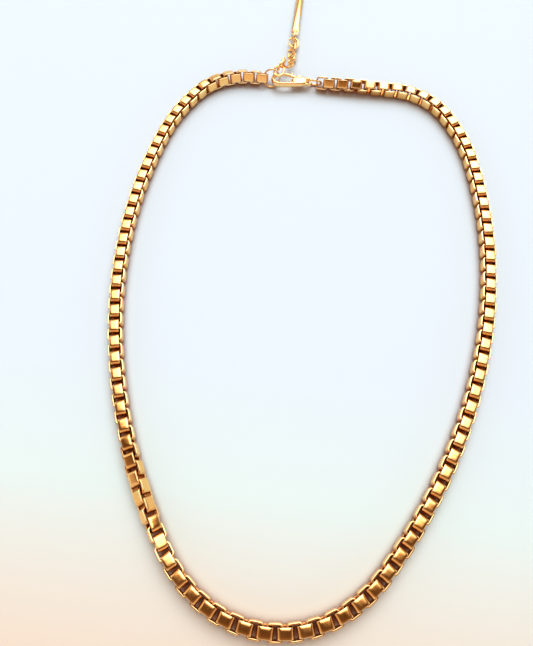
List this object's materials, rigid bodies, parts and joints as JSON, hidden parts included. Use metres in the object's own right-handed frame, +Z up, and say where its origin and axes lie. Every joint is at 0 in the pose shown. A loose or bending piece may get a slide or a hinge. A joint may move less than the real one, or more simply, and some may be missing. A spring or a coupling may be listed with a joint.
{
  "type": "chain necklace",
  "caption": "Short box chain necklace lying flat in a closed loop, with a lobster clasp on a jump ring and an extender that ends in a bar tag.",
  "frame": {"origin": "middle of the base of the whole piece as it lies on a table", "axes": "+Z up from the table, +Y from the bottom of the loop towards the clasp and out along the extender, +X to the wearer's clasp side, where the clasp hangs on the chain"},
  "size_m": [0.1072, 0.202, 0.0056],
  "materials": {
    "chain_gold": "polished yellow gold plate with fine wear",
    "finding_gold": "polished yellow gold plate on drawn wire and stamped bar",
    "clasp_gold": "polished yellow gold plate on a casting",
    "spring_steel": "plain spring steel"
  },
  "bodies": {
    "chain_bottom": {"chain_bottom": "chain_gold"},
    "chain_left_01": {"chain_left_01": "chain_gold"},
    "chain_left_02": {"chain_left_02": "chain_gold"},
    "chain_left_03": {"chain_left_03": "chain_gold"},
    "chain_left_04": {"chain_left_04": "chain_gold"},
    "chain_left_05": {"chain_left_05": "chain_gold"},
    "chain_left_06": {"chain_left_06": "chain_gold"},
    "chain_left_07": {"chain_left_07": "chain_gold"},
    "chain_left_08": {"chain_left_08": "chain_gold"},
    "chain_left_09": {"chain_left_09": "chain_gold"},
    "chain_left_10": {"chain_left_10": "chain_gold"},
    "chain_left_11": {"chain_left_11": "chain_gold"},
    "chain_left_12": {"chain_left_12": "chain_gold"},
    "chain_left_13": {"chain_left_13": "chain_gold"},
    "chain_left_14": {"chain_left_14": "chain_gold"},
    "chain_left_15": {"chain_left_15": "chain_gold"},
    "chain_left_16": {"chain_left_16": "chain_gold"},
    "chain_right_01": {"chain_right_01": "chain_gold"},
    "chain_right_02": {"chain_right_02": "chain_gold"},
    "chain_right_03": {"chain_right_03": "chain_gold"},
    "chain_right_04": {"chain_right_04": "chain_gold"},
    "chain_right_05": {"chain_right_05": "chain_gold"},
    "chain_right_06": {"chain_right_06": "chain_gold"},
    "chain_right_07": {"chain_right_07": "chain_gold"},
    "chain_right_08": {"chain_right_08": "chain_gold"},
    "chain_right_09": {"chain_right_09": "chain_gold"},
    "chain_right_10": {"chain_right_10": "chain_gold"},
    "chain_right_11": {"chain_right_11": "chain_gold"},
    "chain_right_12": {"chain_right_12": "chain_gold"},
    "chain_right_13": {"chain_right_13": "chain_gold"},
    "chain_right_14": {"chain_right_14": "chain_gold"},
    "chain_right_15": {"chain_right_15": "chain_gold"},
    "chain_right_16": {"chain_right_16": "chain_gold"},
    "end_jump_ring": {"end_jump_ring": "finding_gold"},
    "clasp_ring": {"clasp_ring": "finding_gold"},
    "clasp": {"clasp_body": "clasp_gold", "lever_spring": "spring_steel", "lever_rivet": "clasp_gold"},
    "clasp_lever": {"clasp_lever": "clasp_gold"},
    "extender_link_1": {"extender_link_1": "finding_gold"},
    "extender_link_2": {"extender_link_2": "finding_gold"},
    "extender_link_3": {"extender_link_3": "finding_gold"},
    "extender_link_4": {"extender_link_4": "finding_gold"},
    "extender_link_5": {"extender_link_5": "finding_gold"},
    "extender_link_6": {"extender_link_6": "finding_gold"},
    "extender_link_7": {"extender_link_7": "finding_gold"},
    "extender_link_8": {"extender_link_8": "finding_gold"},
    "bar_tag": {"bar_tag": "finding_gold"}
  },
  "joints": [
    {"name": "fold_01_right", "type": "hinge", "parent": "chain_bottom", "child": "chain_right_01", "pos_m": [0.02093, -0.09034, 0.00197], "axis": [1, 0, 0], "range_deg": [0, 8]},
    {"name": "fold_01_left", "type": "hinge", "parent": "chain_bottom", "child": "chain_left_01", "pos_m": [-0.02093, -0.09034, 0.00197], "axis": [1, 0, 0], "range_deg": [0, 8]},
    {"name": "fold_02_right", "type": "hinge", "parent": "chain_right_01", "child": "chain_right_02", "pos_m": [0.02653, -0.0835, 0.00197], "axis": [1, 0, 0], "range_deg": [0, 8]},
    {"name": "fold_02_left", "type": "hinge", "parent": "chain_left_01", "child": "chain_left_02", "pos_m": [-0.02653, -0.0835, 0.00197], "axis": [1, 0, 0], "range_deg": [0, 8]},
    {"name": "fold_03_right", "type": "hinge", "parent": "chain_right_02", "child": "chain_right_03", "pos_m": [0.0313, -0.07602, 0.00197], "axis": [1, 0, 0], "range_deg": [0, 8]},
    {"name": "fold_03_left", "type": "hinge", "parent": "chain_left_02", "child": "chain_left_03", "pos_m": [-0.0313, -0.07602, 0.00197], "axis": [1, 0, 0], "range_deg": [0, 8]},
    {"name": "fold_04_right", "type": "hinge", "parent": "chain_right_03", "child": "chain_right_04", "pos_m": [0.0356, -0.06826, 0.00197], "axis": [1, 0, 0], "range_deg": [0, 8]},
    {"name": "fold_04_left", "type": "hinge", "parent": "chain_left_03", "child": "chain_left_04", "pos_m": [-0.0356, -0.06826, 0.00197], "axis": [1, 0, 0], "range_deg": [0, 8]},
    {"name": "fold_05_right", "type": "hinge", "parent": "chain_right_04", "child": "chain_right_05", "pos_m": [0.03942, -0.06026, 0.00197], "axis": [1, 0, 0], "range_deg": [0, 8]},
    {"name": "fold_05_left", "type": "hinge", "parent": "chain_left_04", "child": "chain_left_05", "pos_m": [-0.03942, -0.06026, 0.00197], "axis": [1, 0, 0], "range_deg": [0, 8]},
    {"name": "fold_06_right", "type": "hinge", "parent": "chain_right_05", "child": "chain_right_06", "pos_m": [0.04274, -0.05204, 0.00197], "axis": [1, 0, 0], "range_deg": [0, 8]},
    {"name": "fold_06_left", "type": "hinge", "parent": "chain_left_05", "child": "chain_left_06", "pos_m": [-0.04274, -0.05204, 0.00197], "axis": [1, 0, 0], "range_deg": [0, 8]},
    {"name": "fold_07_right", "type": "hinge", "parent": "chain_right_14", "child": "chain_right_15", "pos_m": [0.04351, 0.04336, 0.00197], "axis": [1, 0, 0], "range_deg": [0, 8]},
    {"name": "fold_07_left", "type": "hinge", "parent": "chain_left_14", "child": "chain_left_15", "pos_m": [-0.04351, 0.04336, 0.00197], "axis": [1, 0, 0], "range_deg": [0, 8]},
    {"name": "fold_08_right", "type": "hinge", "parent": "chain_right_15", "child": "chain_right_16", "pos_m": [0.0388, 0.05086, 0.00197], "axis": [1, 0, 0], "range_deg": [0, 8]},
    {"name": "fold_08_left", "type": "hinge", "parent": "chain_left_15", "child": "chain_left_16", "pos_m": [-0.0388, 0.05086, 0.00197], "axis": [1, 0, 0], "range_deg": [0, 8]},
    {"name": "sway_1_lower_right", "type": "hinge", "parent": "chain_right_09", "child": "chain_right_10", "pos_m": [0.05107, -0.0176, 0.00197], "axis": [0, 0, 1], "range_deg": [-6, 6]},
    {"name": "sway_1_lower_left", "type": "hinge", "parent": "chain_left_09", "child": "chain_left_10", "pos_m": [-0.05107, -0.0176, 0.00197], "axis": [0, 0, 1], "range_deg": [-6, 6]},
    {"name": "sway_1_upper_right", "type": "hinge", "parent": "chain_right_10", "child": "chain_right_11", "pos_m": [0.05107, 0.00897, 0.00197], "axis": [0, 0, 1], "range_deg": [-6, 6]},
    {"name": "sway_1_upper_left", "type": "hinge", "parent": "chain_left_10", "child": "chain_left_11", "pos_m": [-0.05107, 0.00897, 0.00197], "axis": [0, 0, 1], "range_deg": [-6, 6]},
    {"name": "sway_2_lower_right", "type": "hinge", "parent": "chain_right_08", "child": "chain_right_09", "pos_m": [0.04999, -0.02638, 0.00197], "axis": [0, 0, 1], "range_deg": [-6, 6]},
    {"name": "sway_2_lower_left", "type": "hinge", "parent": "chain_left_08", "child": "chain_left_09", "pos_m": [-0.04998, -0.02638, 0.00197], "axis": [0, 0, 1], "range_deg": [-6, 6]},
    {"name": "sway_2_upper_right", "type": "hinge", "parent": "chain_right_11", "child": "chain_right_12", "pos_m": [0.04999, 0.01778, 0.00197], "axis": [0, 0, 1], "range_deg": [-6, 6]},
    {"name": "sway_2_upper_left", "type": "hinge", "parent": "chain_left_11", "child": "chain_left_12", "pos_m": [-0.04998, 0.01778, 0.00197], "axis": [0, 0, 1], "range_deg": [-6, 6]},
    {"name": "sway_3_lower_right", "type": "hinge", "parent": "chain_right_07", "child": "chain_right_08", "pos_m": [0.04837, -0.03507, 0.00197], "axis": [0, 0, 1], "range_deg": [-6, 6]},
    {"name": "sway_3_lower_left", "type": "hinge", "parent": "chain_left_07", "child": "chain_left_08", "pos_m": [-0.04837, -0.03507, 0.00197], "axis": [0, 0, 1], "range_deg": [-6, 6]},
    {"name": "sway_3_upper_right", "type": "hinge", "parent": "chain_right_12", "child": "chain_right_13", "pos_m": [0.04837, 0.02653, 0.00197], "axis": [0, 0, 1], "range_deg": [-6, 6]},
    {"name": "sway_3_upper_left", "type": "hinge", "parent": "chain_left_12", "child": "chain_left_13", "pos_m": [-0.04837, 0.02653, 0.00197], "axis": [0, 0, 1], "range_deg": [-6, 6]},
    {"name": "sway_4_lower_right", "type": "hinge", "parent": "chain_right_06", "child": "chain_right_07", "pos_m": [0.04619, -0.04363, 0.00197], "axis": [0, 0, 1], "range_deg": [-6, 6]},
    {"name": "sway_4_lower_left", "type": "hinge", "parent": "chain_left_06", "child": "chain_left_07", "pos_m": [-0.04619, -0.04363, 0.00197], "axis": [0, 0, 1], "range_deg": [-6, 6]},
    {"name": "sway_4_upper_right", "type": "hinge", "parent": "chain_right_13", "child": "chain_right_14", "pos_m": [0.04619, 0.03515, 0.00197], "axis": [0, 0, 1], "range_deg": [-6, 6]},
    {"name": "sway_4_upper_left", "type": "hinge", "parent": "chain_left_13", "child": "chain_left_14", "pos_m": [-0.04619, 0.03515, 0.00197], "axis": [0, 0, 1], "range_deg": [-6, 6]},
    {"name": "end_ring_turn", "type": "hinge", "parent": "chain_left_16", "child": "end_jump_ring", "pos_m": [-0.01681, 0.05797, 0.00245], "axis": [1, 0, 0], "range_deg": [0, 6]},
    {"name": "clasp_ring_turn", "type": "hinge", "parent": "chain_right_16", "child": "clasp_ring", "pos_m": [-0.00258, 0.05797, 0.00226], "axis": [1, 0, 0], "range_deg": [-4, 0]},
    {"name": "clasp_roll", "type": "hinge", "parent": "clasp_ring", "child": "clasp", "pos_m": [-0.00482, 0.05797, 0.00227], "axis": [1, 0, 0], "range_deg": [-1.5, 1]},
    {"name": "lever_opening", "type": "hinge", "parent": "clasp", "child": "clasp_lever", "pos_m": [-0.00787, 0.05887, 0.00227], "axis": [0, 0, 1], "range_deg": [0, 16], "stiffness_Nm_per_rad": 0.01, "springref_deg": -8.59},
    {"name": "extender_swing_1", "type": "hinge", "parent": "end_jump_ring", "child": "extender_link_1", "pos_m": [-0.01477, 0.05894, 0.00373], "axis": [0, 0, 1], "range_deg": [-3, 10]},
    {"name": "extender_swing_2", "type": "hinge", "parent": "extender_link_1", "child": "extender_link_2", "pos_m": [-0.01448, 0.06143, 0.0038], "axis": [0, 0, 1], "range_deg": [-8, 1]},
    {"name": "extender_swing_3", "type": "hinge", "parent": "extender_link_2", "child": "extender_link_3", "pos_m": [-0.01323, 0.06386, 0.00351], "axis": [0, 0, 1], "range_deg": [-3, 10]},
    {"name": "extender_swing_4", "type": "hinge", "parent": "extender_link_3", "child": "extender_link_4", "pos_m": [-0.0113, 0.06578, 0.00284], "axis": [0, 0, 1], "range_deg": [-15, 15]},
    {"name": "extender_swing_5", "type": "hinge", "parent": "extender_link_4", "child": "extender_link_5", "pos_m": [-0.0112, 0.06838, 0.00188], "axis": [0, 0, 1], "range_deg": [-15, 15]},
    {"name": "extender_swing_6", "type": "hinge", "parent": "extender_link_5", "child": "extender_link_6", "pos_m": [-0.01121, 0.07119, 0.00167], "axis": [0, 0, 1], "range_deg": [-15, 15]},
    {"name": "extender_swing_7", "type": "hinge", "parent": "extender_link_6", "child": "extender_link_7", "pos_m": [-0.01121, 0.07401, 0.00178], "axis": [0, 0, 1], "range_deg": [-15, 15]},
    {"name": "extender_swing_8", "type": "hinge", "parent": "extender_link_7", "child": "extender_link_8", "pos_m": [-0.01121, 0.07683, 0.00186], "axis": [0, 0, 1], "range_deg": [-15, 15]},
    {"name": "tag_swing", "type": "hinge", "parent": "extender_link_8", "child": "bar_tag", "pos_m": [-0.01121, 0.08036, 0.00197], "axis": [0, 0, 1], "range_deg": [-20, 20]}
  ],
  "couplings": [
    {"joint": "fold_01_left", "follows": "fold_01_right", "ratio": 1},
    {"joint": "fold_02_left", "follows": "fold_02_right", "ratio": 1},
    {"joint": "fold_03_left", "follows": "fold_03_right", "ratio": 1},
    {"joint": "fold_04_left", "follows": "fold_04_right", "ratio": 1},
    {"joint": "fold_05_left", "follows": "fold_05_right", "ratio": 1},
    {"joint": "fold_06_left", "follows": "fold_06_right", "ratio": 1},
    {"joint": "fold_07_left", "follows": "fold_07_right", "ratio": 1},
    {"joint": "fold_08_left", "follows": "fold_08_right", "ratio": 1},
    {"joint": "sway_1_lower_left", "follows": "sway_1_lower_right", "ratio": 1},
    {"joint": "sway_1_upper_right", "follows": "sway_1_lower_right", "ratio": -1},
    {"joint": "sway_1_upper_left", "follows": "sway_1_lower_right", "ratio": -1},
    {"joint": "sway_2_lower_left", "follows": "sway_2_lower_right", "ratio": 1},
    {"joint": "sway_2_upper_right", "follows": "sway_2_lower_right", "ratio": -1},
    {"joint": "sway_2_upper_left", "follows": "sway_2_lower_right", "ratio": -1},
    {"joint": "sway_3_lower_left", "follows": "sway_3_lower_right", "ratio": 1},
    {"joint": "sway_3_upper_right", "follows": "sway_3_lower_right", "ratio": -1},
    {"joint": "sway_3_upper_left", "follows": "sway_3_lower_right", "ratio": -1},
    {"joint": "sway_4_lower_left", "follows": "sway_4_lower_right", "ratio": 1},
    {"joint": "sway_4_upper_right", "follows": "sway_4_lower_right", "ratio": -1},
    {"joint": "sway_4_upper_left", "follows": "sway_4_lower_right", "ratio": -1}
  ]
}
